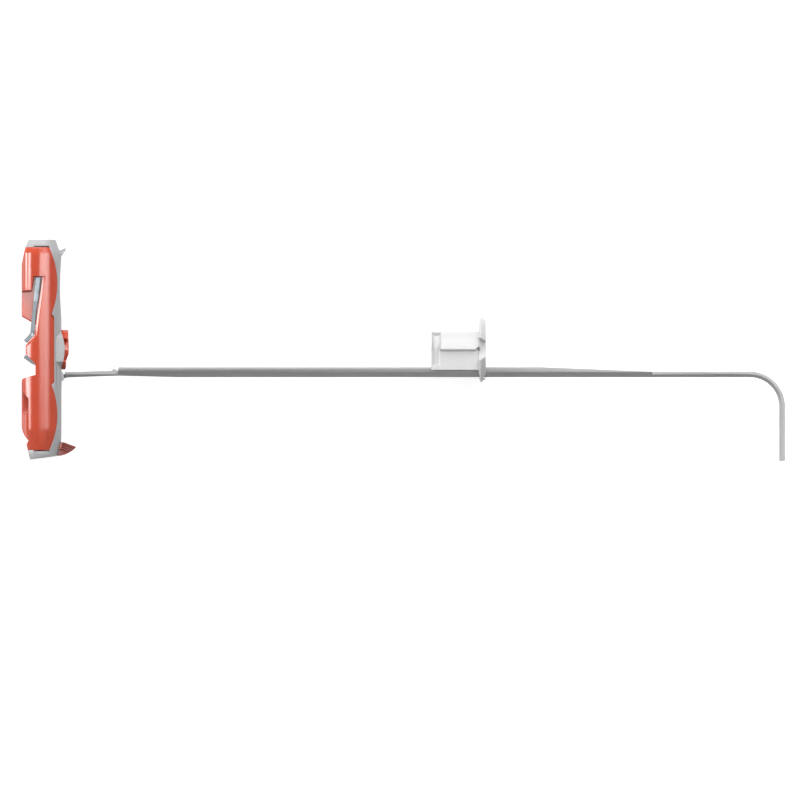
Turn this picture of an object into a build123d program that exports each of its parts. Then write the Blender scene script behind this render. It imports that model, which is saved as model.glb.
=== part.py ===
import math
import os

from build123d import *

# Toggle anchor with a pull strap and a sliding collar. Sizes are in millimetres.
# X runs along the screw towards its head, Y along the toggle, and Z across both.
# The origin is where the screw axis meets the middle of the toggle.

# Toggle, outer form
top_reach = 24.2            # screw axis to the top end
bottom_reach = 24.2         # screw axis to the bottom end
body_radius = 4.8
face_reach = 4.35           # middle to the flat that bears on the wall
back_reach = 4.35           # middle to the flat behind
top_taper = 3.1             # length of the round taper at each end
bottom_taper = 6.9
top_end_radius = 3.7
bottom_end_radius = 3.6
top_cap = 1.7               # grey end caps, beyond the red core
bottom_cap = 2.1
cap_gap = 0.28              # shadow gap between core and caps
gap_back = 1.57             # the gap's rear end, behind the middle
gap_floor = 2.9             # half thickness left under the gap

# Toggle, outline seen from the side
top_end_back = 2.8          # rear corner of the top end
top_core_back = 3.55        # and of the red core below it
top_back_slope = 5.5        # length of the slope behind the top end
top_end_face = 3.05         # corner of the top end on the wall side
top_break_face = 3.9
top_break = 2.4
end_slope = 3.9             # slope to the bearing flat, at both ends
hollow_foot = 7.0           # shallow hollow in the upper half of the bearing flat
hollow_depth = 0.3
bottom_end_face = 3.38
bottom_end_rise = 0.8
bottom_end_back = 2.5
bottom_core_back = 3.0
ledge_back = 3.27           # small ledge below the lower lobe
ledge_rise = 3.3
lobe_end_back = 2.83
lobe_end_rise = 4.2
lobe_curve = 3.4            # length of the lower lobe's rounded end

# Screw mouth and bore
bore_radius = 2.6
tube_wall = 0.6             # red tube that lines the bore through the spine
mouth_radius = 4.4
mouth_height = 1.55         # mouth lips beyond the bearing flat
shoulder_height = 0.8       # grey shoulder round the mouth
shoulder_half = 3.9
tube_step = 0.6             # full tube ends this far beyond the bearing flat
mouth_half = 3.5            # half width across the mouth's flat sides
mouth_tube_radius = 2.9     # tube between the two lips
lip_gap = 4.6               # opening between the two lips, along the toggle
mouth_slant = 0.48          # lower lip falls back by this much
slant_head = 1.0            # between these distances below the screw axis
slant_foot = 2.3
mouth_corner = 0.8          # slanted lower corner of the lip, along the toggle
mouth_corner_depth = 0.17

# Where the red core meets the grey spine
spine_depth = 1.48          # spine behind the mouth
lens_depth = 0.82           # spine at its thinnest
key_depth = 2.05            # spine at its two pointed keys
cap_join_depth = 2.6        # spine beside the caps
key_reach = 7.8             # screw axis to each pointed key
key_length = 0.7

# Upper lobe, slot and web
web_half = 1.5
slot_top = 16.08
slot_width = 2.0
slot_flare = 0.17           # slot's rear side slopes back by this much per unit of length
lobe_step = 12.85           # where the lobe's two sides end
web_foot = 7.2              # lower end of the web, at the back flat
web_slope = 0.57
column_back = 1.95          # column's rear edge behind the middle, in line with the screw
column_slope = 0.1455
column_chamfer = 0.5        # along the column's rear edge and the hump

# Hump behind the column, and the notch below it
hump_reach = 3.42
hump_half = 0.95
hump_slope = 1.06
hump_fillet = 0.8
notch_back = 1.24
notch_foot = 5.55
notch_slope = 0.29
lobe_fillet = 0.6           # top corner of the lower lobe

# Pocket in the sides of the lower lobe
pocket_edge = 2.8
pocket_top = 10.7
pocket_slope = 1.06
pocket_floor = 2.0          # half thickness left in the pocket
pocket_ramp = 14.0          # where the floor starts to slope
ramp_foot = 3.6
ramp_edge_floor = 2.85
pocket_foot_rise = 4.1      # pocket's lower end above the bottom end

# Fin and thorn
fin_reach = 3.3             # tip beyond the bearing flat
fin_tip_rise = 2.8          # tip above the bottom end
fin_half = 1.9              # half thickness at the root
fin_tip_half = 0.4
fin_belly = 0.45
fin_gap = 0.45
fin_rib_depth = 0.22
fin_rib_width = 0.28
fin_rib_pitch = 0.62
fin_ribs = 3
fin_root_half = 0.9
fin_root_height = 1.1
fin_root_rise = 3.35        # top of the root above the bottom end
thorn_half = 0.7
thorn_reach = 1.07          # tip beyond the bearing flat
thorn_tip_drop = 1.9        # tip below the top end
thorn_tip_length = 0.4
thorn_belly = (0.77, 2.65)  # beyond the flat, and below the top end
thorn_root_drop = 2.7
thorn_foot = (0.12, 3.55)

# Grip leaves
leaf_thickness = 0.8
leaf_clear = 0.12
pivot_radius = 0.42
pivot_clear = 0.08
upper_pivot = (-0.78, 15.55)
upper_bend = (-2.05, 3.45)
upper_tip = (-3.58, 1.76)
bend_radius = 1.2
upper_half = 4.2            # half width above the crease
upper_crease = 10.5
rolled_thickness = 1.0      # rolled side edges above the crease
rolled_head = 0.3           # they end this far above the pivot
upper_lip_half = 3.4        # half width below it
leaf_window_foot = 4.7
lower_pivot = (-0.47, -3.40)
lower_bend = (-2.01, -2.73)
lower_tip = (-3.77, -1.47)
lower_half = 2.4
lower_swing = 0.45          # room for the lower leaf to open
grip_radius = 2.4           # notch in each tip, round the screw's core

# Strap hinge
hinge_reach = 4.3
hinge_drop = 6.25
knuckle_radius = 0.65
knuckle_half = 0.7
hinge_clear = 0.1
ear_thickness = 1.3
ear_skin = 0.2              # left outside the pin's blind hole
ear_tab = 0.3               # the ears run up the bearing flat, standing this far out
hinge_pin_radius = 0.35
hinge_pin_clear = 0.07

# Pull strap
strap_top = 3.85            # screw axis to the strap's upper face
strap_depth = 2.22
strap_half = 3.0
upright_side = 1.08         # height of the upright side above the bevel
keel_half = 1.1             # half width left at the bottom
strap_edge = 0.2            # small bevel along the upper edges
strap_start = 16.95         # full width starts here
start_lean = 0.2            # its front end leans by this much
start_depth = 1.89
full_depth_start = 29.8
level_end = 109.6
taper_end = 134.3
bend_start = 155.8
tail_thickness = 1.23
tail_half = 2.13
tail_bend_radius = 6.47     # inside of the bend
tail_end = 24.5
neck_half = 2.13
neck_thickness = 1.2
neck_drop = 1.08            # neck's upper face below the strap's, at the hinge
neck_end_drop = 0.79        # and where the neck ends
neck_flare = 0.25
neck_root = 0.5             # length of its thicker root
catch_back = 1.45           # catch in front of the strap, from the strap's front end
catch_rise = 0.15
catch_length = 0.55
catch_height = 0.39
catch_foot_drop = 0.99      # foot of its slope, below the strap's upper face
recess_start = 144.2        # ramped recess in the tail's sides
recess_length = 5.9
recess_depth = 0.9
recess_height = 0.4
nick_length = 0.5           # nick where the strap narrows to the tail
nick_depth = 0.6
nick_height = 0.5

# Ratchet teeth, sunk between two rails
rail_width = 1.3
tooth_pitch = 1.6
tooth_height = 0.4
tooth_drop = 0.4            # crests below the rails
teeth_margin = 1.2          # plain strap before the first tooth

# Sliding collar
collar_start = 85.7
sleeve_length = 10.43       # as far as the flange
sleeve_radius = 4.07
flange_radius = 7.25
flange_thickness = 1.57
flange_back_radius = 6.05
flange_back_bevel = 0.47
flange_front_radius = 6.4
collar_bore_radius = 2.8
side_half = 3.62            # flat sides of the sleeve's lower part
side_foot = 4.5             # the sides reach this far below the screw axis
strap_clear = 0.12
scoop_radius = 1.05         # concave neck behind the sleeve's rear rim
scoop_inset = 1.15
scoop_floor = 3.2           # screw axis to the neck's floor
scoop_foot = 3.45
scoop_turn = 67             # degrees from each side towards the top
rib_inset = 2.1
rib_height = 0.85           # rib beyond the flat sides
rib_top = 0.75
rib_shoulder = 0.35
rib_foot = -0.05
side_notch_top = 2.45       # notch in the flange's sides, at its back face
side_notch_foot = -2.05
side_notch_front_top = 1.45
side_notch_front_foot = -1.15
side_notch_floor = 4.2
side_notch_flare = 8        # degrees that its walls open outwards
window_reach = 0.63         # three-cornered window beside the flange, from its back face
window_tip_rise = 0.18
window_top = (0.12, 0.73)
window_foot = (0.42, -0.5)
window_floor = 2.95
pawl_length = 1.6
pawl_half = 1.4
pawl_clear = 0.15
pawl_from_flange = 4.73

# Values that follow from these
snap = 0.01                                     # edges are picked this close to where they lie
core_top = top_reach - top_cap
core_foot = bottom_cap - bottom_reach
spine_x = face_reach - spine_depth
lens_x = face_reach - lens_depth
key_x = face_reach - key_depth
cap_join_x = face_reach - cap_join_depth
tube_radius = bore_radius + tube_wall
mouth_x = face_reach + mouth_height
beyond = body_radius + mouth_radius             # clear of the toggle on every side
hinge_point = (hinge_reach, -hinge_drop)
ear_start = knuckle_half + hinge_clear
pin_hole_half = ear_start + ear_thickness - ear_skin
neck_top = -strap_top - neck_drop
strap_bottom = strap_top + strap_depth
tail_top = strap_bottom - tail_thickness
bevel_height = strap_depth - upright_side
bevel_width = strap_half - keel_half
channel_half = strap_half + strap_clear
channel_top = strap_top - strap_clear
flange_back = collar_start + sleeve_length
flange_front = flange_back + flange_thickness


def column_x(y):
    # Rear edge of the column, beside the slot
    return column_slope * y - column_back


def web_y(x):
    # Lower edge of the mid web
    return web_foot - web_slope * (x + back_reach)


# Grey root of the screw mouth, with its rounded shoulder
with BuildPart() as mouth_root:
    with BuildSketch(Plane.XY):
        with BuildLine():
            Polyline(
                (face_reach, -shoulder_half),
                (face_reach, -beyond),
                (spine_x, -beyond),
                (spine_x, beyond),
                (face_reach, beyond),
                (face_reach, shoulder_half),
            )
            ThreePointArc(
                (face_reach, shoulder_half),
                (face_reach + shoulder_height, 0),
                (face_reach, -shoulder_half),
            )
        make_face()
    extrude(amount=mouth_radius, both=True)
    with BuildSketch(Plane.YZ):
        Circle(mouth_radius)
        Rectangle(2 * mouth_radius, 2 * mouth_half, mode=Mode.INTERSECT)
    extrude(amount=mouth_x, mode=Mode.INTERSECT)

# Outer form of the toggle, shared by the red core and the grey spine
with BuildPart() as outer_form:
    with BuildSketch(Plane.XY):
        with BuildLine():
            Polyline(
                (0, top_reach),
                (top_end_radius, top_reach),
                (body_radius, top_reach - top_taper),
                (body_radius, bottom_taper - bottom_reach),
                (bottom_end_radius, -bottom_reach),
                (0, -bottom_reach),
                close=True,
            )
        make_face()
    revolve(axis=Axis.Y)
    with BuildSketch(Plane.XY):
        with BuildLine():
            Polyline(
                (face_reach, hollow_foot),
                (face_reach, end_slope - bottom_reach),
                (bottom_end_face, bottom_end_rise - bottom_reach),
                (-bottom_end_back, -bottom_reach),
                (-bottom_core_back, core_foot),
                (-ledge_back, ledge_rise - bottom_reach),
                (-lobe_end_back, lobe_end_rise - bottom_reach),
            )
            TangentArc(
                (-back_reach, lobe_end_rise + lobe_curve - bottom_reach),
                (-lobe_end_back, lobe_end_rise - bottom_reach),
                tangent=(0, -1),
            )
            Polyline(
                (-back_reach, lobe_end_rise + lobe_curve - bottom_reach),
                (-back_reach, top_reach - top_back_slope),
                (-top_core_back, core_top),
                (-top_end_back, top_reach),
                (top_end_face, top_reach),
                (top_break_face, top_reach - top_break),
                (face_reach, top_reach - end_slope),
            )
            ThreePointArc(
                (face_reach, top_reach - end_slope),
                (face_reach - hollow_depth, (top_reach - end_slope + hollow_foot) / 2),
                (face_reach, hollow_foot),
            )
        make_face()
    extrude(amount=beyond, both=True, mode=Mode.INTERSECT)
    add(mouth_root.part)

# Block that holds all of the red core, up to the face where it meets the spine
with BuildPart() as core_block:
    with BuildSketch(Plane.XY):
        with BuildLine():
            ThreePointArc(
                (cap_join_x, core_top),
                (lens_x, (core_top + key_reach) / 2),
                (key_x, key_reach),
            )
            Polyline(
                (key_x, key_reach),
                (spine_x, key_reach - key_length),
                (spine_x, key_length - key_reach),
                (key_x, -key_reach),
            )
            ThreePointArc(
                (key_x, -key_reach),
                (lens_x, (core_foot - key_reach) / 2),
                (cap_join_x, core_foot),
            )
            Polyline(
                (cap_join_x, core_foot),
                (-beyond, core_foot),
                (-beyond, core_top),
                (cap_join_x, core_top),
            )
        make_face()
    extrude(amount=beyond, both=True)

# Two lips of the screw mouth, beyond the grey shoulder
with BuildPart() as mouth_lips:
    with BuildSketch(Plane.YZ.offset(spine_x)):
        Circle(mouth_radius)
        Rectangle(2 * mouth_radius, 2 * mouth_half, mode=Mode.INTERSECT)
        Rectangle(lip_gap, 2 * mouth_radius, mode=Mode.SUBTRACT)
    extrude(amount=mouth_x - spine_x)
    add(outer_form.part, mode=Mode.SUBTRACT)

# Fin at the lower end, with the root that passes through the spine
fin_top_point = (face_reach + fin_gap, end_slope - bottom_reach)
fin_foot_point = (bottom_end_face + fin_gap, bottom_end_rise - bottom_reach)
fin_tip_point = (face_reach + fin_reach, fin_tip_rise - bottom_reach)
fin_root_y = fin_root_rise - fin_root_height / 2 - bottom_reach
fin_grooves_angle = math.degrees(
    math.atan2(fin_tip_point[1] - fin_top_point[1], fin_tip_point[0] - fin_top_point[0])
)


def fin_plan(inset):
    # Corners of the fin seen along the toggle, this far inside its sides
    return (
        (fin_foot_point[0], fin_half - inset),
        (fin_tip_point[0], fin_tip_half - inset),
        (fin_tip_point[0], inset - fin_tip_half),
        (fin_foot_point[0], inset - fin_half),
    )


with BuildPart() as fin_grooves:
    with BuildSketch(Plane.XY):
        for number in range(fin_ribs):
            middle_x = (fin_top_point[0] + fin_tip_point[0]) / 2
            middle_y = (fin_top_point[1] + fin_tip_point[1]) / 2
            with Locations((middle_x, middle_y - (number + 1) * fin_rib_pitch)):
                Rectangle(2 * fin_reach, fin_rib_width, rotation=fin_grooves_angle)
    extrude(amount=fin_half, both=True)
    with BuildSketch(Plane.XZ):
        with BuildLine():
            Polyline(*fin_plan(fin_rib_depth), close=True)
        make_face()
    extrude(amount=bottom_reach, mode=Mode.SUBTRACT)
with BuildPart() as fin:
    with BuildSketch(Plane.XY):
        with BuildLine():
            Polyline(fin_foot_point, fin_top_point, fin_tip_point)
            ThreePointArc(
                fin_tip_point,
                (
                    (fin_tip_point[0] + fin_foot_point[0]) / 2,
                    (fin_tip_point[1] + fin_foot_point[1]) / 2 - fin_belly,
                ),
                fin_foot_point,
            )
        make_face()
    extrude(amount=fin_half, both=True)
    with BuildSketch(Plane.XZ):
        with BuildLine():
            Polyline(*fin_plan(0), close=True)
        make_face()
    extrude(amount=bottom_reach + fin_belly, mode=Mode.INTERSECT)
    add(fin_grooves.part, mode=Mode.SUBTRACT)
    with BuildSketch(Plane.YZ.offset(cap_join_x)):
        with Locations((fin_root_y, 0)):
            Rectangle(fin_root_height, 2 * fin_root_half)
    extrude(amount=face_reach + fin_gap - cap_join_x)

# Red core of the toggle
with BuildPart() as toggle_body:
    add(outer_form.part)
    add(core_block.part, mode=Mode.INTERSECT)
    add(mouth_lips.part)
    with BuildSketch(Plane.YZ.offset(spine_x)):
        Circle(tube_radius)
    extrude(amount=face_reach + tube_step - spine_x)
    with BuildSketch(Plane.YZ.offset(spine_x)):
        Circle(mouth_tube_radius)
    extrude(amount=mouth_x - spine_x)
    with BuildSketch(Plane.XY):
        with BuildLine():
            Polyline(
                (mouth_x, -slant_head),
                (mouth_x - mouth_slant, -slant_foot),
                (mouth_x - mouth_slant, mouth_corner - mouth_radius),
                (mouth_x - mouth_slant - mouth_corner_depth, -mouth_radius),
                (mouth_x, -mouth_radius),
                close=True,
            )
        make_face()
    extrude(amount=mouth_radius, both=True, mode=Mode.SUBTRACT)
    add(fin.part)
    with BuildSketch(Plane.YZ):
        Circle(bore_radius)
    extrude(amount=beyond, both=True, mode=Mode.SUBTRACT)

    # Open space behind the hump, above it and below it
    corner_y = (hump_half + hump_slope * (hump_reach - column_back)) / (1 - hump_slope * column_slope)
    corner = (column_x(corner_y), corner_y)
    lobe_corner = (-back_reach, -notch_foot - notch_slope * (back_reach - notch_back))
    with BuildSketch(Plane.XY):
        with BuildLine():
            Polyline(
                (-beyond, web_y(-beyond)),
                (column_x(web_y(-notch_back)), web_y(-notch_back)),
                corner,
                (-hump_reach, hump_half),
                (-hump_reach, -hump_half),
                (-notch_back, -hump_half - hump_slope * (hump_reach - notch_back)),
                (-notch_back, -notch_foot),
                lobe_corner,
                (-back_reach, lobe_corner[1] - 2 * lobe_fillet),
                (-beyond, lobe_corner[1] - 2 * lobe_fillet),
                close=True,
            )
        make_face()
        fillet(vertices().sort_by_distance(corner)[0], hump_fillet)
        fillet(vertices().sort_by_distance(lobe_corner)[0], lobe_fillet)
    extrude(amount=beyond, both=True, mode=Mode.SUBTRACT)

    # Sides cut away beside the web, so that the upper leaf stands free
    slot_rear_x = column_x(slot_top) - slot_width
    for side in (1, -1):
        with BuildSketch(Plane.XY.offset(side * web_half)):
            with BuildLine():
                Polyline(
                    (slot_rear_x, slot_top),
                    (column_x(slot_top), slot_top),
                    (column_x(web_y(-notch_back)), web_y(-notch_back)),
                    (-beyond, web_y(-notch_back)),
                    (-beyond, lobe_step),
                    (slot_rear_x - slot_flare * (slot_top - lobe_step), lobe_step),
                    close=True,
                )
            make_face()
        extrude(amount=side * beyond, mode=Mode.SUBTRACT)
    with BuildSketch(Plane.XY):
        with Locations(upper_pivot):
            Circle(pivot_radius + pivot_clear)
    extrude(amount=beyond, both=True, mode=Mode.SUBTRACT)

    # Chamfer along the rear edges of the column and the hump
    column_edges = edges().filter_by(lambda e: hump_half < (e @ 0.5).Y < lobe_step - snap)
    chamfer(
        column_edges.filter_by(lambda e: abs(math.hypot((e @ 0.5).X, (e @ 0.5).Z) - body_radius) < snap),
        column_chamfer,
    )

    # Seat and passage of the lower leaf, hidden between the hump's cheeks
    with BuildSketch(Plane.XY):
        with Locations(lower_pivot):
            Circle(pivot_radius + pivot_clear)
        for drop in (0, lower_swing):
            with Locations((lower_bend[0], lower_bend[1] - drop), (lower_tip[0], lower_tip[1] - drop)):
                Circle(leaf_thickness / 2 + leaf_clear)
        make_hull()
    extrude(amount=lower_half + leaf_clear, both=True, mode=Mode.SUBTRACT)

    # Pockets in the sides of the lower lobe, flat above and sloping below
    for side in (1, -1):
        with BuildSketch(Plane.XY.offset(side * pocket_floor)):
            with BuildLine():
                Polyline(
                    (-beyond, pocket_slope * (beyond - pocket_edge) - pocket_top),
                    (-pocket_edge, -pocket_top),
                    (-pocket_edge, -pocket_ramp),
                    (-beyond, -pocket_ramp),
                    close=True,
                )
            make_face()
        extrude(amount=side * beyond, mode=Mode.SUBTRACT)
        with BuildSketch(Plane.XZ.offset(pocket_ramp)):
            with BuildLine():
                Polyline(
                    (-ramp_foot, side * pocket_floor),
                    (-pocket_edge, side * ramp_edge_floor),
                    (-pocket_edge, side * beyond),
                    (-beyond, side * beyond),
                    (-beyond, side * pocket_floor),
                    close=True,
                )
            make_face()
        extrude(amount=bottom_reach - pocket_foot_rise - pocket_ramp, mode=Mode.SUBTRACT)
toggle_body.part.label = "toggle_body"

# Grey spine with its two end caps, the thorn and the ears of the strap hinge
with BuildPart() as toggle_spine:
    add(outer_form.part)
    add(core_block.part, mode=Mode.SUBTRACT)
    with BuildSketch(Plane.YZ.offset(spine_x)):
        Circle(tube_radius)
    extrude(amount=mouth_x - spine_x, mode=Mode.SUBTRACT)
    for side in (1, -1):
        with BuildSketch(Plane.XY.offset(side * gap_floor)):
            with Locations((-gap_back, core_top), (-gap_back, core_foot - cap_gap)):
                Rectangle(gap_back + cap_join_x, cap_gap, align=(Align.MIN, Align.MIN))
        extrude(amount=side * beyond, mode=Mode.SUBTRACT)
    with BuildSketch(Plane.XY):
        with BuildLine():
            Polyline(
                (top_break_face - thorn_half, top_reach - thorn_root_drop),
                (face_reach + thorn_reach - thorn_tip_length, top_reach - thorn_tip_drop),
                (face_reach + thorn_reach, top_reach - thorn_tip_drop),
                (face_reach + thorn_belly[0], top_reach - thorn_belly[1]),
                (face_reach + thorn_foot[0], top_reach - thorn_foot[1]),
                (top_break_face - thorn_half, top_reach - thorn_foot[1]),
                close=True,
            )
        make_face()
    extrude(amount=thorn_half, both=True)
    for side in (1, -1):
        with BuildSketch(Plane.XY.offset(side * ear_start)):
            with Locations(hinge_point):
                Circle(knuckle_radius)
            with Locations((face_reach, neck_top)):
                Rectangle(2 * ear_tab, ear_tab, align=(Align.CENTER, Align.MAX))
            make_hull()
        extrude(amount=side * ear_thickness)
    with BuildSketch(Plane.XY):
        with Locations(hinge_point):
            Circle(knuckle_radius + hinge_clear)
    extrude(amount=ear_start, both=True, mode=Mode.SUBTRACT)
    with BuildSketch(Plane.XY):
        with Locations(hinge_point):
            Circle(hinge_pin_radius + hinge_pin_clear)
    extrude(amount=pin_hole_half, both=True, mode=Mode.SUBTRACT)
    with BuildSketch(Plane.YZ.offset(cap_join_x)):
        with Locations((fin_root_y, 0)):
            Rectangle(fin_root_height, 2 * fin_root_half)
    extrude(amount=beyond, mode=Mode.SUBTRACT)
toggle_spine.part.label = "toggle_spine"

# Upper grip leaf: a bent strip with a window round the web and a bar as its pivot
leaf_slope = (upper_pivot[0] - upper_bend[0]) / (upper_pivot[1] - upper_bend[1])
with BuildPart() as grip_leaf_upper:
    with BuildSketch(Plane.XY):
        with BuildLine():
            FilletPolyline(upper_pivot, upper_bend, upper_tip, radius=bend_radius)
        trace(line_width=leaf_thickness)
    extrude(amount=upper_half, both=True)
    for side in (1, -1):
        with BuildSketch(Plane.XY.offset(side * upper_lip_half)):
            with Locations((0, upper_crease)):
                Rectangle(2 * beyond, 2 * beyond, align=(Align.CENTER, Align.MAX))
        extrude(amount=side * beyond, mode=Mode.SUBTRACT)
    with BuildSketch(Plane.XY):
        with Locations((0, leaf_window_foot)):
            Rectangle(
                2 * beyond,
                upper_pivot[1] - leaf_window_foot,
                align=(Align.CENTER, Align.MIN),
            )
    extrude(amount=web_half + leaf_clear, both=True, mode=Mode.SUBTRACT)
    with BuildSketch(Plane.XY):
        with Locations(upper_pivot):
            Circle(pivot_radius)
    extrude(amount=upper_lip_half, both=True)
    roll_offset = (rolled_thickness - leaf_thickness) / 2
    crease_x = upper_pivot[0] + leaf_slope * (upper_crease - upper_pivot[1])
    rolled_x = upper_pivot[0] + leaf_slope * rolled_head
    for side in (1, -1):
        with BuildSketch(Plane.XY.offset(side * upper_lip_half)):
            with BuildLine():
                Line(
                    (rolled_x + roll_offset, upper_pivot[1] + rolled_head),
                    (crease_x + roll_offset, upper_crease),
                )
            trace(line_width=rolled_thickness)
        extrude(amount=side * (upper_half - upper_lip_half))
    with BuildSketch(Plane.YZ):
        Circle(grip_radius)
    extrude(amount=-beyond, mode=Mode.SUBTRACT)
grip_leaf_upper.part.label = "grip_leaf_upper"

# Lower grip leaf: a shorter strip that leaves the core just below the bore
with BuildPart() as grip_leaf_lower:
    with BuildSketch(Plane.XY):
        with BuildLine():
            FilletPolyline(lower_pivot, lower_bend, lower_tip, radius=bend_radius)
        trace(line_width=leaf_thickness)
        with Locations(lower_pivot):
            Circle(pivot_radius)
    extrude(amount=lower_half, both=True)
    with BuildSketch(Plane.YZ):
        Circle(grip_radius)
    extrude(amount=-beyond, mode=Mode.SUBTRACT)
grip_leaf_lower.part.label = "grip_leaf_lower"

# Pull strap: hinge knuckle, thin neck, ratchet length, tapered tail and bend
neck_end = strap_start - neck_flare
neck_wide = hinge_reach + knuckle_radius + 2 * hinge_clear
neck_end_top = -strap_top - neck_end_drop
catch_x = strap_start - catch_back
tail_shoulder = strap_bottom - bevel_height * (tail_half - keel_half) / bevel_width
with BuildPart() as pull_strap:
    with BuildSketch(Plane.XY):
        with BuildLine():
            Polyline(
                (taper_end, -strap_bottom),
                (full_depth_start, -strap_bottom),
                (strap_start, -strap_top - start_depth),
                (neck_end, -strap_top - start_depth),
                (neck_wide + neck_root, neck_top - neck_thickness),
                (neck_wide, -hinge_drop),
                hinge_point,
                (hinge_reach + knuckle_radius, knuckle_radius - hinge_drop),
                (neck_wide, neck_top),
                (catch_x, neck_end_top),
                (catch_x + catch_rise, neck_end_top + catch_height),
                (catch_x + catch_rise + catch_length, neck_end_top + catch_height),
                (strap_start - start_lean, -strap_top - catch_foot_drop),
                (strap_start, -strap_top),
                (level_end, -strap_top),
                (taper_end, -tail_top),
                close=True,
            )
        make_face()
        with Locations(hinge_point):
            Circle(knuckle_radius)
    extrude(amount=strap_half, both=True)

    # Width of the strap, seen from above
    with BuildSketch(Plane.XZ):
        with BuildLine():
            half_plan = Polyline(
                (hinge_reach - knuckle_radius, knuckle_half),
                (neck_wide, knuckle_half),
                (neck_wide, neck_half),
                (neck_end, neck_half),
                (strap_start, strap_half),
                (taper_end, strap_half),
            )
            mirror(half_plan, about=Plane.XZ)
            Line(half_plan @ 0, (hinge_reach - knuckle_radius, -knuckle_half))
            Line(half_plan @ 1, (taper_end, -strap_half))
        make_face()
    extrude(amount=beyond, both=True, mode=Mode.INTERSECT)

    # Lower edges bevelled to fit a round hole, upper edges broken
    for side in (1, -1):
        with BuildSketch(Plane.YZ.offset(neck_wide)):
            with BuildLine():
                Polyline(
                    (-strap_top - upright_side, side * strap_half),
                    (-strap_bottom, side * keel_half),
                    (-beyond, side * keel_half),
                    (-beyond, side * beyond),
                    (-strap_top - upright_side, side * beyond),
                    close=True,
                )
            make_face()
        extrude(amount=taper_end - neck_wide, mode=Mode.SUBTRACT)
        with BuildSketch(Plane.YZ.offset(strap_start)):
            with BuildLine():
                Polyline(
                    (-strap_top, side * (strap_half - strap_edge)),
                    (-strap_top - strap_edge, side * strap_half),
                    (-strap_top, side * strap_half),
                    close=True,
                )
            make_face()
        extrude(amount=level_end - strap_start, mode=Mode.SUBTRACT)

    # Tail: one section swept along the strap, round the bend and down
    with BuildLine(Plane.XY) as tail_path:
        Line((taper_end, -strap_bottom), (bend_start, -strap_bottom))
        RadiusArc(
            (bend_start, -strap_bottom),
            (bend_start + tail_bend_radius, -strap_bottom - tail_bend_radius),
            tail_bend_radius,
        )
        Line(
            (bend_start + tail_bend_radius, -strap_bottom - tail_bend_radius),
            (bend_start + tail_bend_radius, -tail_end),
        )
    with BuildSketch(Plane.YZ.offset(taper_end)):
        with BuildLine():
            Polyline(
                (-tail_top, tail_half),
                (-tail_shoulder, tail_half),
                (-strap_bottom, keel_half),
                (-strap_bottom, -keel_half),
                (-tail_shoulder, -tail_half),
                (-tail_top, -tail_half),
                close=True,
            )
        make_face()
    sweep(path=tail_path.line)
    for side in (1, -1):
        with BuildSketch(Plane.XZ.offset(tail_top)):
            with BuildLine():
                Polyline(
                    (recess_start, side * tail_half),
                    (recess_start + recess_length, side * (tail_half - recess_depth)),
                    (recess_start + recess_length, side * strap_half),
                    (recess_start, side * strap_half),
                    close=True,
                )
            make_face()
        extrude(amount=recess_height, mode=Mode.SUBTRACT)
        with BuildSketch(Plane.XY.offset(side * (tail_half - nick_depth))):
            with Locations((taper_end, -tail_top)):
                Rectangle(nick_length, nick_height, align=(Align.MIN, Align.MAX))
        extrude(amount=side * strap_half, mode=Mode.SUBTRACT)

    # Ratchet teeth: each climbs towards the toggle and ends in an upright face
    teeth_start = strap_start + teeth_margin
    teeth_end = level_end - teeth_margin
    tooth_count = int((teeth_end - teeth_start) / tooth_pitch)
    crest = -strap_top - tooth_drop
    tooth_points = []
    for number in range(tooth_count):
        x = teeth_start + number * tooth_pitch
        tooth_points += [(x, crest), (x + tooth_pitch, crest - tooth_height)]
    with BuildSketch(Plane.XY):
        with BuildLine():
            Polyline(
                (teeth_start, 0),
                *tooth_points,
                (teeth_start + tooth_count * tooth_pitch, 0),
                close=True,
            )
        make_face()
    extrude(amount=strap_half - rail_width, both=True, mode=Mode.SUBTRACT)
    with BuildSketch(Plane.XY):
        with Locations(hinge_point):
            Circle(hinge_pin_radius)
    extrude(amount=pin_hole_half - hinge_pin_clear, both=True)
pull_strap.part.label = "pull_strap"

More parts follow.
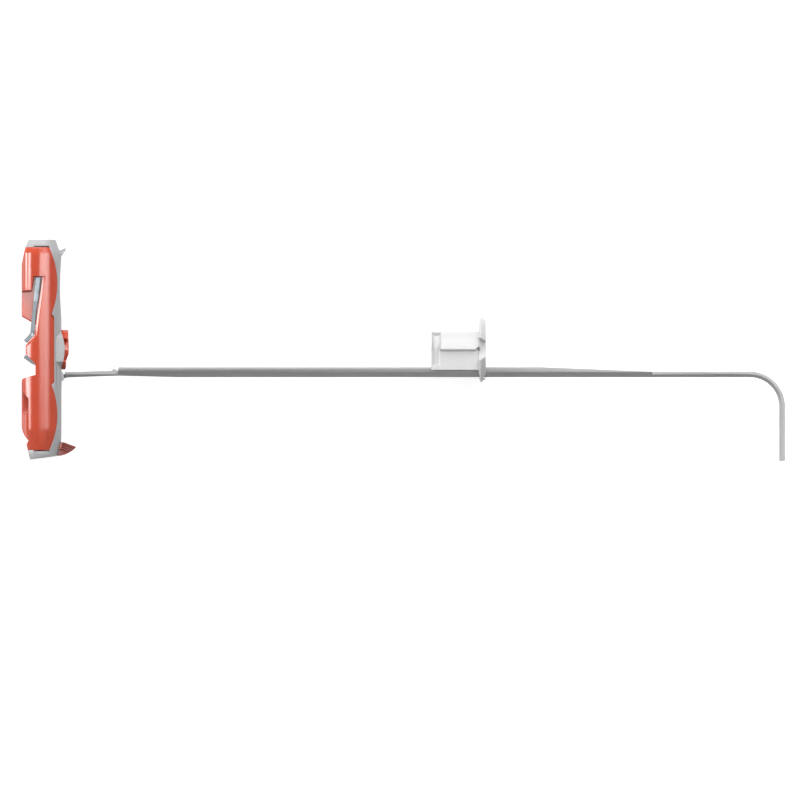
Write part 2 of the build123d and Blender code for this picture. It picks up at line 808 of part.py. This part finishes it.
# Sliding collar: a sleeve on the screw axis, saddled on the strap, and a flange
hole_radius = (sleeve_radius + strap_bottom) / 2
with BuildPart() as sliding_collar:
    with BuildSketch(Plane.YZ.offset(collar_start)):
        Circle(sleeve_radius)
        Rectangle(sleeve_radius, 2 * sleeve_radius, align=(Align.MAX, Align.CENTER), mode=Mode.SUBTRACT)
        Rectangle(side_foot, 2 * side_half, align=(Align.MAX, Align.CENTER))
        with Locations((sleeve_radius - hole_radius, 0)):
            Circle(hole_radius, mode=Mode.INTERSECT)
    extrude(amount=sleeve_length)
    scoop_centre = (collar_start + scoop_inset, scoop_floor + scoop_radius)
    for side in (1, -1):
        with BuildSketch(Plane.XZ):
            with Locations((scoop_centre[0], side * scoop_centre[1])):
                Circle(scoop_radius)
        revolve(axis=Axis.X, revolution_arc=-side * scoop_turn, mode=Mode.SUBTRACT)
    with BuildSketch(Plane.XZ):
        with Locations(scoop_centre, (scoop_centre[0], -scoop_centre[1])):
            Circle(scoop_radius)
    extrude(amount=scoop_foot, mode=Mode.SUBTRACT)
    for side in (1, -1):
        with BuildSketch(Plane.YZ.offset(collar_start + rib_inset)):
            with BuildLine():
                Polyline(
                    (rib_top, side * side_half),
                    (rib_shoulder, side * (side_half + rib_height)),
                    (rib_foot, side * (side_half + rib_height)),
                    (rib_foot, side * side_half),
                    close=True,
                )
            make_face()
        extrude(amount=sleeve_length - rib_inset)
    with BuildSketch(Plane.XY):
        with BuildLine():
            Polyline(
                (flange_back, 0),
                (flange_back, flange_back_radius),
                (flange_back + flange_back_bevel, flange_radius),
                (flange_front, flange_front_radius),
                (flange_front, 0),
                close=True,
            )
        make_face()
    revolve(axis=Axis.X)
    with BuildSketch(Plane.YZ.offset(collar_start)):
        Circle(collar_bore_radius)
    extrude(amount=sleeve_length + flange_thickness, mode=Mode.SUBTRACT)
    with BuildSketch(Plane.YZ.offset(collar_start)):
        with Locations((-channel_top, 0)):
            Rectangle(
                strap_depth + 2 * strap_clear,
                2 * channel_half,
                align=(Align.MAX, Align.CENTER),
            )
    extrude(amount=sleeve_length + flange_thickness, mode=Mode.SUBTRACT)

    # Side notches through the flange, and the window beside each of them
    for side in (1, -1):
        with BuildSketch(Plane.XY.offset(side * side_notch_floor)):
            with BuildLine():
                Polyline(
                    (flange_back, side_notch_top),
                    (flange_front, side_notch_front_top),
                    (flange_front, side_notch_front_foot),
                    (flange_back, side_notch_foot),
                    close=True,
                )
            make_face()
        extrude(amount=side * flange_radius, taper=-side_notch_flare, mode=Mode.SUBTRACT)
        with BuildSketch(Plane.XY.offset(side * window_floor)):
            with BuildLine():
                Polyline(
                    (flange_back - window_reach, window_tip_rise),
                    (flange_back + window_top[0], window_top[1]),
                    (flange_back + window_foot[0], window_foot[1]),
                    close=True,
                )
            make_face()
        extrude(amount=side * flange_radius, mode=Mode.SUBTRACT)

    # Pawl over the ratchet teeth, lifted clear of their crests
    pawl_foot = -strap_top - tooth_drop + pawl_clear
    pawl_x = flange_back - pawl_from_flange
    with BuildSketch(Plane.XY):
        with BuildLine():
            Polyline(
                (pawl_x, -channel_top),
                (pawl_x + pawl_length, pawl_foot),
                (pawl_x + pawl_length, -channel_top),
                close=True,
            )
        make_face()
    extrude(amount=pawl_half, both=True)
sliding_collar.part.label = "sliding_collar"

os.makedirs("parts", exist_ok=True)
export_step(toggle_body.part, "parts/toggle_body.step")
export_step(toggle_spine.part, "parts/toggle_spine.step")
export_step(grip_leaf_upper.part, "parts/grip_leaf_upper.step")
export_step(grip_leaf_lower.part, "parts/grip_leaf_lower.step")
export_step(pull_strap.part, "parts/pull_strap.step")
export_step(sliding_collar.part, "parts/sliding_collar.step")
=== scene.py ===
import math

import bmesh
import bpy
from mathutils import Matrix, Vector


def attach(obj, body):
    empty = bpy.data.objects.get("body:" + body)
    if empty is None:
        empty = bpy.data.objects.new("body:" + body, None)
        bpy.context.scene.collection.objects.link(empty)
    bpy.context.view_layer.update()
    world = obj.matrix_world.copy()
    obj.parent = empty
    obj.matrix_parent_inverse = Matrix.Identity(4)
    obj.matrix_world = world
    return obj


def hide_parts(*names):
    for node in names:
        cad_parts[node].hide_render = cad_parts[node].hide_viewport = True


# Toggle anchor: red and grey nylon toggle, ratchet strap and sliding collar.
# Everything is in metres, in the CAD model's frame: X along the bore and the strap,
# Y along the toggle, Z up from the table.

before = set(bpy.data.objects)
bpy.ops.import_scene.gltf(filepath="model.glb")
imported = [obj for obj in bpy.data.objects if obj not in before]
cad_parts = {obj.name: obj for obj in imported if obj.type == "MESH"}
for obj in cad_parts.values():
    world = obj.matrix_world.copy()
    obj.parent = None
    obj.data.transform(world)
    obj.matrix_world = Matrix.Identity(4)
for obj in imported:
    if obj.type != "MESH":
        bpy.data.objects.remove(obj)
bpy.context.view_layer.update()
print("frame loaded")

mm = 0.001
white = (1.0, 1.0, 1.0, 1.0)


# Helpers

def hexToLinear(code):
    # sRGB hex to the linear colour that shaders expect
    parts = [int(code[i:i + 2], 16) / 255 for i in (0, 2, 4)]
    linear = [c / 12.92 if c <= 0.04045 else ((c + 0.055) / 1.055) ** 2.4 for c in parts]
    return (*linear, 1.0)


def addNode(tree, kind, settings=None, inputs=None, links=None):
    # adds one node, sets its properties and sockets, and links what feeds it
    node = tree.nodes.new(kind)
    for name, value in (settings or {}).items():
        setattr(node, name, value)
    for name, value in (inputs or {}).items():
        node.inputs[name].default_value = value
    for name, source in (links or {}).items():
        tree.links.new(source, node.inputs[name])
    return node


def newMaterial(name):
    # empty node material, with its tree and output
    material = bpy.data.materials.new(name)
    material.use_nodes = True
    tree = material.node_tree
    tree.nodes.clear()
    output = addNode(tree, "ShaderNodeOutputMaterial")
    return material, tree, output


def seenDirectly(tree):
    # 1 for rays that come from the camera, from gloss or through glass, and 0 for the rest
    rays = addNode(tree, "ShaderNodeLightPath")
    mirrored = addNode(tree, "ShaderNodeMath", {"operation": "MAXIMUM"},
                       links={0: rays.outputs["Is Glossy Ray"], 1: rays.outputs["Is Transmission Ray"]})
    either = addNode(tree, "ShaderNodeMath", {"operation": "MAXIMUM"},
                     links={0: rays.outputs["Is Camera Ray"], 1: mirrored.outputs[0]})
    return either.outputs[0]


# Materials

# a Mix node's colour sockets share their names with its others, so they go by number
mixFirst, mixSecond, mixResult = 6, 7, 2
noiseLow, noiseHigh = 0.3, 0.7  # nearly all of a noise's values lie between these
nylonIor = 1.53


def makeNylon(name, look):
    # Injection-moulded nylon: colour mottles faintly as the melt flowed, and the tool's
    # spark-eroded skin gives a fine grain that softens the shine
    material, tree, output = newMaterial(name)
    place = addNode(tree, "ShaderNodeTexCoord")
    mottle = addNode(tree, "ShaderNodeTexNoise",
                     inputs={"Scale": 1 / (look["mottleSize"] * mm), "Detail": 3.0, "Roughness": 0.55},
                     links={"Vector": place.outputs["Object"]})
    colour = addNode(tree, "ShaderNodeMix", {"data_type": "RGBA"},
                     inputs={mixFirst: hexToLinear(look["dark"]), mixSecond: hexToLinear(look["light"])},
                     links={"Factor": mottle.outputs["Fac"]})
    grain = addNode(tree, "ShaderNodeTexNoise",
                    inputs={"Scale": 1 / (look["grainSize"] * mm), "Detail": 2.0, "Roughness": 0.6},
                    links={"Vector": place.outputs["Object"]})
    rough = addNode(tree, "ShaderNodeMapRange",
                    inputs={"From Min": noiseLow, "From Max": noiseHigh,
                            "To Min": look["roughness"] - look["roughSpread"],
                            "To Max": look["roughness"] + look["roughSpread"]},
                    links={"Value": mottle.outputs["Fac"]})
    bump = addNode(tree, "ShaderNodeBump",
                   inputs={"Strength": look["grainStrength"], "Distance": look["grainHeight"] * mm},
                   links={"Height": grain.outputs["Fac"]})
    shader = addNode(tree, "ShaderNodeBsdfPrincipled",
                     inputs={"IOR": nylonIor, "Metallic": 0.0,
                             "Subsurface Weight": look["glow"],
                             "Subsurface Scale": look["glowDepth"] * mm,
                             "Subsurface Radius": look["glowRadius"]},
                     links={"Base Color": colour.outputs[mixResult],
                            "Roughness": rough.outputs["Result"],
                            "Normal": bump.outputs["Normal"]})
    tree.links.new(shader.outputs["BSDF"], output.inputs["Surface"])
    return material


def makeSpringSteel(look):
    # Stamped spring steel, zinc plated: cold grey silver with fine rolling lines along the leaf
    material, tree, output = newMaterial("zincPlatedSpringSteel")
    place = addNode(tree, "ShaderNodeTexCoord")
    along = addNode(tree, "ShaderNodeMapping",
                    inputs={"Scale": (1.0, look["lineStretch"], 1.0)},
                    links={"Vector": place.outputs["Object"]})
    lines = addNode(tree, "ShaderNodeTexNoise",
                    inputs={"Scale": 1 / (look["lineSpacing"] * mm), "Detail": 2.0},
                    links={"Vector": along.outputs["Vector"]})
    cloud = addNode(tree, "ShaderNodeTexNoise",
                    inputs={"Scale": 1 / (look["cloudSize"] * mm), "Detail": 3.0},
                    links={"Vector": place.outputs["Object"]})
    colour = addNode(tree, "ShaderNodeMix", {"data_type": "RGBA"},
                     inputs={mixFirst: hexToLinear(look["dark"]), mixSecond: hexToLinear(look["light"])},
                     links={"Factor": cloud.outputs["Fac"]})
    rough = addNode(tree, "ShaderNodeMapRange",
                    inputs={"From Min": noiseLow, "From Max": noiseHigh,
                            "To Min": look["roughness"] - look["roughSpread"],
                            "To Max": look["roughness"] + look["roughSpread"]},
                    links={"Value": lines.outputs["Fac"]})
    bump = addNode(tree, "ShaderNodeBump",
                   inputs={"Strength": look["lineStrength"], "Distance": look["lineHeight"] * mm},
                   links={"Height": lines.outputs["Fac"]})
    shader = addNode(tree, "ShaderNodeBsdfPrincipled",
                     inputs={"Metallic": 1.0},
                     links={"Base Color": colour.outputs[mixResult],
                            "Roughness": rough.outputs["Result"],
                            "Normal": bump.outputs["Normal"]})
    tree.links.new(shader.outputs["BSDF"], output.inputs["Surface"])
    return material


# sizes, heights and depths in mm
redNylon = {
    "dark": "BF3A16",
    "light": "CB451F",
    "mottleSize": 6.0,
    "roughness": 0.22,
    "roughSpread": 0.02,
    "grainSize": 0.22,          # coarser than the real skin so that it shows
    "grainHeight": 0.012,
    "grainStrength": 0.25,
    "glow": 0.08,
    "glowDepth": 0.6,
    "glowRadius": (1.0, 0.35, 0.2),
}
# the same red nylon made darker for the fin: painted shade, for the shade that lies on the fin
finPaintedShadeNylon = {**redNylon, "dark": "862815", "light": "942F19", "roughness": 0.24, "glow": 0.02}
greyNylon = {
    "dark": "A9A9AB",
    "light": "B3B3B5",
    "mottleSize": 5.0,
    "roughness": 0.42,
    "roughSpread": 0.04,
    "grainSize": 0.2,           # drawn coarse, as the red is
    "grainHeight": 0.014,
    "grainStrength": 0.35,
    "glow": 0.06,
    "glowDepth": 0.6,
    "glowRadius": (1.0, 1.0, 1.0),
}
strapNylon = {
    **greyNylon,
    "dark": "A4A4A4",
    "light": "AEAEAE",
    "mottleSize": 9.0,
    "roughness": 0.45,
    "roughSpread": 0.05,
}
collarNylon = {
    **greyNylon,
    "dark": "C7C7C7",
    "light": "D1D1D1",
    "mottleSize": 6.0,
    "grainHeight": 0.012,
    "grainStrength": 0.3,
    "glow": 0.1,
    "glowDepth": 0.8,
}
leafSteel = {
    "dark": "7A8287",
    "light": "979FA4",
    "cloudSize": 2.5,
    "roughness": 0.32,
    "roughSpread": 0.06,
    "lineSpacing": 0.12,        # wider than real rolling lines so that they show
    "lineStretch": 0.08,        # the lines run this much slower along the leaf
    "lineHeight": 0.004,
    "lineStrength": 0.3,
}
materials = {
    "red": makeNylon("mouldedRedNylon", redNylon),
    "fin": makeNylon("redNylonPaintedShade", finPaintedShadeNylon),
    "grey": makeNylon("mouldedGreyNylon", greyNylon),
    "strap": makeNylon("mouldedStrapNylon", strapNylon),
    "collar": makeNylon("mouldedCollarNylon", collarNylon),
    "steel": makeSpringSteel(leafSteel),
}
print("materials made")


# Pieces: each CAD node's mesh, merged and with its moulded edges rounded

finish = {
    "merge": 0.001,             # mm, points nearer than this are one
    "flatWithin": 0.6,          # degrees, triangles this near to flat become one face
    "sharpFrom": 38,            # degrees, shading breaks at edges from here on
    "faceWeight": 80,           # how far large faces lead the shading
    "roundingSteps": 2,
    "roomBeside": 1.6,          # room that a rounding needs beside it, in its own widths
    "roomAlong": 2.4,           # and along it, between two corners
    "crowdingRounds": 4,        # leaving out one crowded edge may crowd the next
    "straightOn": -0.85,        # cosine between edges that run on through a point
}


def isStraight(vert, pair):
    # true where two edges run on through a point without a corner
    first, second = [(e.other_vert(vert).co - vert.co).normalized() for e in pair]
    return first.dot(second) < finish["straightOn"]


def softEdges(bm, width, angle):
    # the edges sharper than the angle that have room for a rounding of this width
    beside, along = finish["roomBeside"] * width, finish["roomAlong"] * width
    chosen = {e for e in bm.edges if len(e.link_faces) == 2 and e.calc_face_angle(0) > angle}
    for turn in range(finish["crowdingRounds"]):
        crowded = set()
        for vert in {v for e in chosen for v in e.verts}:
            rounded = [e for e in vert.link_edges if e in chosen]
            others = [e for e in vert.link_edges if e not in chosen]
            passing = len(rounded) == 2 and isStraight(vert, rounded)
            if any(e.calc_length() < beside for e in others):
                crowded.add(vert)
            elif not passing and any(e.calc_length() < along for e in rounded):
                crowded.add(vert)
        chosen = {e for e in chosen if not crowded & set(e.verts)}
    return list(chosen)


def slantEnds(bm, half, drop):
    # lets the rear edge of a leaf's cut ends fall back, as the die tears it
    squareOn, forward, near = 0.99, 0.3, 0.01 * mm
    ends = [f for f in bm.faces if abs(f.normal.z) > squareOn
            and abs(abs(f.calc_center_median().z) - half * mm) < near]
    rear = {v for f in ends for v in f.verts
            if all(side.normal.x < forward for side in v.link_faces if side not in ends)}
    bmesh.ops.triangulate(bm, faces=ends)
    for vert in rear:
        vert.co.z -= math.copysign(drop * mm, vert.co.z)


def easeUndersides(bm, spans, width):
    # wider rounding where a face that looks down the toggle meets one that looks outward
    downward, outward, forward = -0.7, 0.6, 0.5

    def isUnderside(edge):
        low, high = sorted(v.co.y / mm for v in edge.verts)
        if len(edge.link_faces) != 2 or not any(a <= low and high <= b for a, b in spans):
            return False
        first, second = [f.normal for f in edge.link_faces]
        return any(a.y < downward and abs(b.z) > outward and b.x < forward
                   for a, b in ((first, second), (second, first)))

    edges = [e for e in bm.edges if isUnderside(e)]
    bmesh.ops.bevel(bm, geom=edges, offset=width * mm, affect="EDGES", segments=1, profile=0.5,
                    material=-1, clamp_overlap=False)
    return len(edges)


def leanChamfer(bm, low, rise):
    # turns the chamfer along the column's rear edge a little more upward
    rearward, upward, belowCrest = -0.6, 0.6, 0.2 * mm
    lifted = set()
    for face in bm.faces:
        foot = min(v.co.y for v in face.verts)
        if face.normal.x < rearward and abs(face.normal.z) > upward and foot > low * mm:
            crest = max(abs(v.co.z) for v in face.verts)
            lifted |= {v for v in face.verts if abs(v.co.z) < crest - belowCrest}
    for vert in lifted:
        vert.co.z += math.copysign(rise * mm, vert.co.z)
    return len(lifted)


def leanTail(bm, start, drop):
    # lets the outer half of the tail's narrow sides fall back, so that they meet in a ridge
    upward, levelWith, outward = 0.95, 0.1, 0.6
    outer = set()
    for vert in bm.verts:
        normals = [f.normal for f in vert.link_faces]
        if vert.co.x > start * mm and any(abs(n.z) > upward for n in normals):
            if any(abs(n.z) < levelWith and max(n.x, n.y) > outward for n in normals):
                outer.add(vert)
    for vert in outer:
        vert.co.z -= math.copysign(drop * mm, vert.co.z)
    return len(outer)


def dressPart(node, look, material, body):
    # copies a CAD node's mesh, shapes and rounds its edges, and puts the copy in its place
    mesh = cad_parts[node].data.copy()
    mesh.name = look["name"]
    bm = bmesh.new()
    bm.from_mesh(mesh)
    bmesh.ops.remove_doubles(bm, verts=bm.verts, dist=finish["merge"] * mm)
    bmesh.ops.dissolve_limit(bm, angle_limit=math.radians(finish["flatWithin"]),
                             verts=bm.verts, edges=bm.edges)
    for half, drop in look.get("slantedEnds", ()):
        slantEnds(bm, half, drop)
    if "tailLean" in look:
        print("tail points leaned:", leanTail(bm, *look["tailLean"]))
    if "undersides" in look:
        print("chamfer points lifted:", leanChamfer(bm, look["chamferLow"], look["chamferRise"]))
        print("undersides eased:", easeUndersides(bm, look["undersides"], look["undersideRounding"]))
    edges = softEdges(bm, look["rounding"] * mm, math.radians(look["fromAngle"]))
    bmesh.ops.bevel(bm, geom=edges, offset=look["rounding"] * mm, affect="EDGES",
                    segments=finish["roundingSteps"], profile=0.5, material=-1, clamp_overlap=False)
    for face in bm.faces:
        face.smooth = True
    bm.to_mesh(mesh)
    bm.free()
    mesh.set_sharp_from_angle(angle=math.radians(finish["sharpFrom"]))
    mesh.materials.clear()
    mesh.materials.append(material)
    # the fin's faces get the darker red, which is painted shade
    if "fin" in look:
        reach, height = [value * mm for value in look["fin"]]
        mesh.materials.append(materials["fin"])
        for face in mesh.polygons:
            face.material_index = int(face.center.x > reach and face.center.y < height)
    piece = bpy.data.objects.new(look["name"], mesh)
    bpy.context.scene.collection.objects.link(piece)
    weighted = piece.modifiers.new("flatFaces", "WEIGHTED_NORMAL")
    weighted.keep_sharp = True
    weighted.weight = finish["faceWeight"]
    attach(piece, body)
    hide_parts(node)
    print(look["name"], "edges rounded:", len(edges))
    return piece


# lengths and heights in mm, angles in degrees
toggleCore = {
    "name": "toggleCore",
    "rounding": 0.08,
    "fromAngle": 30,
    "undersides": ((4.5, 7.3), (12.8, 12.9)),   # from and to, where the web and the upper lobe end
    "undersideRounding": 0.25,
    "chamferLow": 3.9,          # the column's rear chamfer is lifted above this height
    "chamferRise": 0.15,
    # faces there take the darker red of painted shade
    "fin": (3.6, -19.0),        # the ribbed fin lies beyond this reach and below this height
}
toggleSpine = {
    "name": "toggleSpine",
    "rounding": 0.07,
    "fromAngle": 30,
}
upperLeaf = {
    "name": "upperLeaf",
    "rounding": 0.06,
    "fromAngle": 40,
    "slantedEnds": ((4.2, 0.12), (3.4, 0.22)),  # half width at a cut end, and how far it falls back
}
lowerLeaf = {
    "name": "lowerLeaf",
    "rounding": 0.06,
    "fromAngle": 40,
    "slantedEnds": ((2.4, 0.22),),
}
strap = {
    "name": "ratchetStrap",
    "rounding": 0.06,
    "fromAngle": 25,
    "tailLean": (145.0, 0.28),  # from here on, and how far the outer half falls back
}
collar = {
    "name": "slidingCollar",
    "rounding": 0.08,
    "fromAngle": 30,
}

dressPart("toggle_body", toggleCore, materials["red"], "toggle")
dressPart("toggle_spine", toggleSpine, materials["grey"], "toggle")
dressPart("grip_leaf_upper", upperLeaf, materials["steel"], "upper_leaf")
dressPart("grip_leaf_lower", lowerLeaf, materials["steel"], "lower_leaf")
dressPart("pull_strap", strap, materials["strap"], "strap")
dressPart("sliding_collar", collar, materials["collar"], "collar")


# a dark sheet in the painted-shade red, filling the gap beside the fin where shade falls
finGapShadeWeb = {
    "name": "finGapShadeWeb",
    "corners": ((4.3, -20.35), (4.82, -20.3), (3.83, -23.4), (3.3, -23.35)),
    "half": 0.2,
    "rounding": 0.05,
    "roundingSteps": 2,
}


def makeFinGapShadeWeb(look):
    # the thin web that ties the fin to the toggle, deep in the gap between them: a dark sheet in the
    # fin's painted-shade red, standing for the shade in that gap
    half = look["half"] * mm
    bm = bmesh.new()
    face = bm.faces.new([bm.verts.new((x * mm, y * mm, -half)) for x, y in look["corners"]])
    grown = bmesh.ops.extrude_face_region(bm, geom=[face])["geom"]
    bmesh.ops.translate(bm, verts=[v for v in grown if isinstance(v, bmesh.types.BMVert)],
                        vec=(0, 0, 2 * half))
    bmesh.ops.bevel(bm, geom=list(bm.edges), offset=look["rounding"] * mm, affect="EDGES",
                    segments=look["roundingSteps"], profile=0.5, material=-1)
    bmesh.ops.recalc_face_normals(bm, faces=bm.faces)
    mesh = bpy.data.meshes.new(look["name"])
    bm.to_mesh(mesh)
    bm.free()
    mesh.materials.append(materials["fin"])
    piece = bpy.data.objects.new(look["name"], mesh)
    bpy.context.scene.collection.objects.link(piece)
    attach(piece, "toggle")
    return piece


makeFinGapShadeWeb(finGapShadeWeb)
print("pieces made")


# Table: a plain white sheet, tilted as the anchor lies on it

table = {
    "colour": "D0D0D0",
    "size": 2.4,                # metres
    "toggleDrop": 4.86,         # mm, toggle's underside below the X axis
    "flangeDrop": 7.35,         # mm, flange's rim below the X axis
    "flangeAt": 97.0,           # mm, from the toggle to the flange
    "addedWhite": 0.8,          # what camera and gloss see on top of the lit colour
}


def makeTable(look):
    # Matt white photographic sheet: reads as pure white, with a faint shadow left on it
    slope = math.atan((look["flangeDrop"] - look["toggleDrop"]) / look["flangeAt"])
    bm = bmesh.new()
    bmesh.ops.create_grid(bm, x_segments=1, y_segments=1, size=look["size"] / 2)
    middle = look["flangeAt"] * mm / 2
    for vert in bm.verts:
        height = -look["toggleDrop"] * mm - math.tan(slope) * (vert.co.x + middle)
        vert.co = Vector((vert.co.x + middle, vert.co.y, height))
    mesh = bpy.data.meshes.new("tableSheet")
    bm.to_mesh(mesh)
    bm.free()
    material, tree, output = newMaterial("mattWhitePaper")
    paper = addNode(tree, "ShaderNodeBsdfDiffuse", inputs={"Color": hexToLinear(look["colour"])})
    added = addNode(tree, "ShaderNodeMath", {"operation": "MULTIPLY"},
                    inputs={1: look["addedWhite"]}, links={0: seenDirectly(tree)})
    shine = addNode(tree, "ShaderNodeEmission", inputs={"Color": white},
                    links={"Strength": added.outputs[0]})
    both = addNode(tree, "ShaderNodeAddShader", links={0: paper.outputs[0], 1: shine.outputs[0]})
    tree.links.new(both.outputs[0], output.inputs["Surface"])
    mesh.materials.append(material)
    sheet = bpy.data.objects.new("tableSheet", mesh)
    bpy.context.scene.collection.objects.link(sheet)
    return sheet


makeTable(table)
print("table made")


# Light: white softboxes round the table, named for where they stand

def faceAlong(outward, across):
    # rotation whose local Z points outward and whose local Y lies as near as it can to across
    right = Vector(across).cross(outward).normalized()
    return Matrix((right, outward.cross(right), outward)).transposed().to_euler()


def addSoftbox(name, box):
    # width lies round the toggle's axis, length along it
    light = bpy.data.lights.new(name, "AREA")
    light.shape = "RECTANGLE"
    light.size = box["width"]
    light.size_y = box["length"]
    light.energy = box["brightness"] * box["width"] * box["length"] * math.pi
    lamp = bpy.data.objects.new(name, light)
    angle = math.radians(box["angle"])
    lamp.location = Vector((math.sin(angle), 0.0, math.cos(angle))) * box["distance"]
    lamp.location.y = box["along"]
    lamp.rotation_euler = faceAlong((lamp.location - Vector(box["aim"])).normalized(), (0, 1, 0))
    lamp.visible_camera = False
    lamp.visible_glossy = "gloss" in box["gives"]
    lamp.visible_diffuse = "wash" in box["gives"]
    bpy.context.scene.collection.objects.link(lamp)


# angle: degrees from straight up towards +X; sizes and places in metres
# gives: a strip box is seen only in the gloss, the wash only lights the colour
softboxes = {
    "overheadStrip": {"angle": 15, "distance": 0.7, "along": 0.055, "aim": (0.0, 0.055, 0.0),
                      "width": 0.62, "length": 0.12, "brightness": 11.3, "gives": ("gloss",)},
    "leftStrip": {"angle": -80, "distance": 0.7, "along": 0.07, "aim": (0.0, 0.07, 0.0),
                  "width": 0.5, "length": 0.22, "brightness": 12.0, "gives": ("gloss", "wash")},
    "leftShine": {"angle": -80, "distance": 0.71, "along": 0.07, "aim": (0.0, 0.07, 0.0),
                  "width": 0.5, "length": 0.22, "brightness": 6.0, "gives": ("gloss",)},
    "keyWash": {"angle": 30, "distance": 0.5, "along": 0.2, "aim": (0.03, 0.0, 0.0),
                "width": 0.34, "length": 0.32, "brightness": 4.5, "gives": ("wash",)},
    "farStrip": {"angle": 15, "distance": 0.66, "along": 0.33, "aim": (0.0, 0.02, 0.0),
                 "width": 0.6, "length": 0.3, "brightness": 4.5, "gives": ("gloss",)},
    "top": {"angle": -20, "distance": 0.4, "along": 0.8, "aim": (0.05, 0.0, 0.0),
            "width": 1.2, "length": 0.45, "brightness": 4.3, "gives": ("gloss", "wash")},
}
for name, box in softboxes.items():
    addSoftbox(name, box)

sky = {
    "softLight": 0.15,          # what lights the object from all round
    "background": 1.0,          # what camera and gloss see
}


def makeSky(look):
    world = bpy.data.worlds.new("studio")
    bpy.context.scene.world = world
    world.use_nodes = True
    tree = world.node_tree
    tree.nodes.clear()
    level = addNode(tree, "ShaderNodeMapRange",
                    inputs={"To Min": look["softLight"], "To Max": look["background"]},
                    links={"Value": seenDirectly(tree)})
    backdrop = addNode(tree, "ShaderNodeBackground", inputs={"Color": white},
                       links={"Strength": level.outputs["Result"]})
    addNode(tree, "ShaderNodeOutputWorld", links={"Surface": backdrop.outputs[0]})


makeSky(sky)
print("lights made")


# Camera, at the photograph's viewing angle: straight down the frame's Z, as it stands unturned

view = {
    "pixels": 800,
    "mmPerPixel": 0.22,
    "originAt": (41.65, 349.6),     # pixel where the frame's origin lies
    "distance": 3.0,                # metres, for a long lens
    "sensor": 36.0,                 # mm, sensor width
    "clipStart": 0.01,
}


def addCamera(look):
    middle = look["pixels"] / 2
    right = (middle - look["originAt"][0]) * look["mmPerPixel"] * mm
    up = (look["originAt"][1] - middle) * look["mmPerPixel"] * mm
    lens = bpy.data.cameras.new("camera")
    lens.sensor_width = look["sensor"]
    lens.lens = look["sensor"] * look["distance"] / (look["pixels"] * look["mmPerPixel"] * mm)
    lens.clip_start = look["clipStart"]
    camera = bpy.data.objects.new("camera", lens)
    camera.location = (right, up, look["distance"])
    bpy.context.scene.collection.objects.link(camera)
    bpy.context.scene.camera = camera


addCamera(view)
bpy.context.scene.view_settings.view_transform = "Standard"
print("camera placed")
